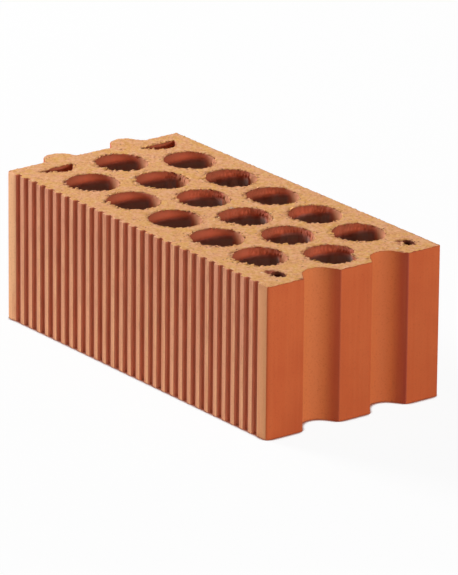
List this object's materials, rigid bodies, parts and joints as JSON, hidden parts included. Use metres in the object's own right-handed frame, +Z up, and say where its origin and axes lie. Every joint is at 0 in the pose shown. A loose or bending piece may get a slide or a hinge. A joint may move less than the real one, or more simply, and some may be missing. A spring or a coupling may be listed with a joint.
{
  "type": "perforated clay brick",
  "caption": "Fired clay brick, an extruded block pierced by upright round holes, with tongue and groove ends that interlock along a course and a fluted long face that keys plaster.",
  "frame": {"origin": "middle of the bed face the brick stands on, tongues not counted", "axes": "+X along the course from the tongue end to the groove end, +Y through the wall from the fluted face to the plain face, +Z up from the bed face to the top face"},
  "size_m": [0.2973, 0.14, 0.1035],
  "materials": {
    "fired_clay": "matt unglazed fired clay, sandy tan where wires cut it and orange red where the die smoothed it"
  },
  "bodies": {
    "root": {"brick": "fired_clay"}
  },
  "joints": []
}
